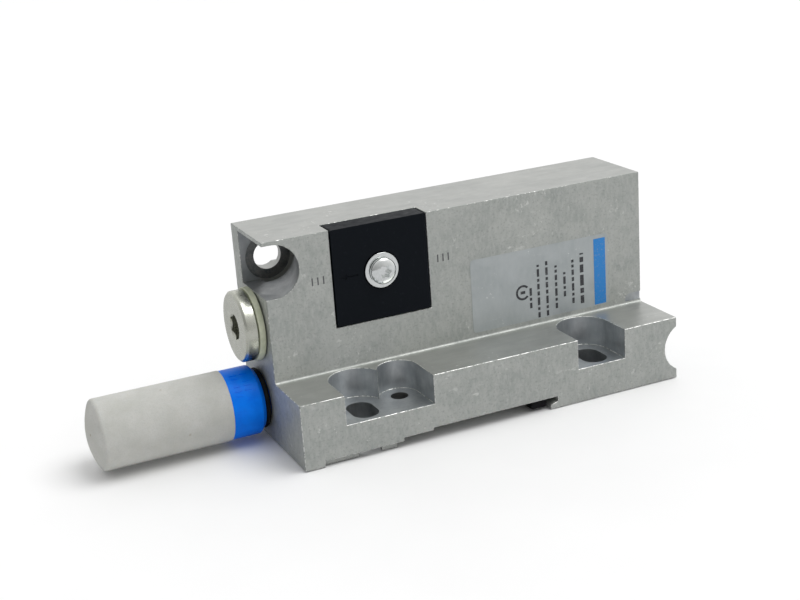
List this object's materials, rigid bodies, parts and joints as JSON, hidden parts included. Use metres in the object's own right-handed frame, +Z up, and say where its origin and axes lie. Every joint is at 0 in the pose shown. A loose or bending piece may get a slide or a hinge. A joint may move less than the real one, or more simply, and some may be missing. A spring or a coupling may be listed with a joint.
{
  "type": "pneumatic end plate with muffler",
  "caption": "L-shaped cast block of a valve terminal with screwed-in exhaust muffler, blanking plug and a pilot air selector plate.",
  "frame": {"origin": "bottom centre of the whole part's box, on the resting plane of the feet", "axes": "+X along the block from the muffler to the plain end, +Y from the ledge to the back face that joins the valve terminal, +Z up"},
  "size_m": [0.1528, 0.0398, 0.0535],
  "materials": {
    "cast_aluminium": "die-cast, tumbled, fine scratches and bright worn edges; machined pockets smoother and darker",
    "black_plastic": "matte moulded",
    "rubber": "matte black",
    "zinc_steel": "bright zinc plated, smooth",
    "passivated_steel": "turned, yellowish passivated zinc",
    "seal_polymer": "pale greenish, satin",
    "blue_plastic": "moulded, satin gloss",
    "porous_polymer": "sintered, off-white, fine grain",
    "clear_film": "clear glossy film on bare metal"
  },
  "bodies": {
    "block": {"housing": "cast_aluminium", "duct_seal_supply": "rubber", "duct_seal_exhaust": "rubber", "duct_seal_external": "rubber", "duct_seal_control": "rubber", "rail_pad": "rubber", "rating_label": "clear_film"},
    "muffler_seal": {"muffler_o_ring": "rubber"},
    "muffler": {"muffler_base": "blue_plastic", "muffler_element": "porous_polymer"},
    "plug_seal": {"plug_seal_ring": "seal_polymer"},
    "plug": {"blanking_plug": "passivated_steel"},
    "selector": {"selector_plate": "black_plastic", "selector_gasket": "rubber", "selector_washer": "zinc_steel"},
    "screw": {"selector_screw": "zinc_steel"}
  },
  "joints": [
    {"name": "muffler_slide", "type": "slide", "parent": "block", "child": "muffler_seal", "axis": [-1, 0, 0], "range_m": [0, 0.0095]},
    {"name": "muffler_turn", "type": "hinge", "parent": "muffler_seal", "child": "muffler", "pos_m": [-0.03095, 0.00825, 0.00996], "axis": [-1, 0, 0], "range_deg": [0, 2520]},
    {"name": "plug_slide", "type": "slide", "parent": "block", "child": "plug_seal", "axis": [-1, 0, 0], "range_m": [0, 0.0089]},
    {"name": "plug_turn", "type": "hinge", "parent": "plug_seal", "child": "plug", "pos_m": [-0.03095, 0.00825, 0.03], "axis": [-1, 0, 0], "range_deg": [0, 2340]},
    {"name": "selector_slide", "type": "slide", "parent": "block", "child": "selector", "axis": [0, -1, 0], "range_m": [0, 0.0098]},
    {"name": "screw_turn", "type": "hinge", "parent": "selector", "child": "screw", "pos_m": [-0.00025, -0.0034, 0.041], "axis": [0, -1, 0], "range_deg": [0, 5041]}
  ],
  "couplings": [
    {"joint": "muffler_slide", "follows": "muffler_turn", "m_per_rad": 0.0002128},
    {"joint": "plug_slide", "follows": "plug_turn", "m_per_rad": 0.0002128},
    {"joint": "screw_turn", "follows": "selector_slide", "rad_per_m": 8976}
  ]
}
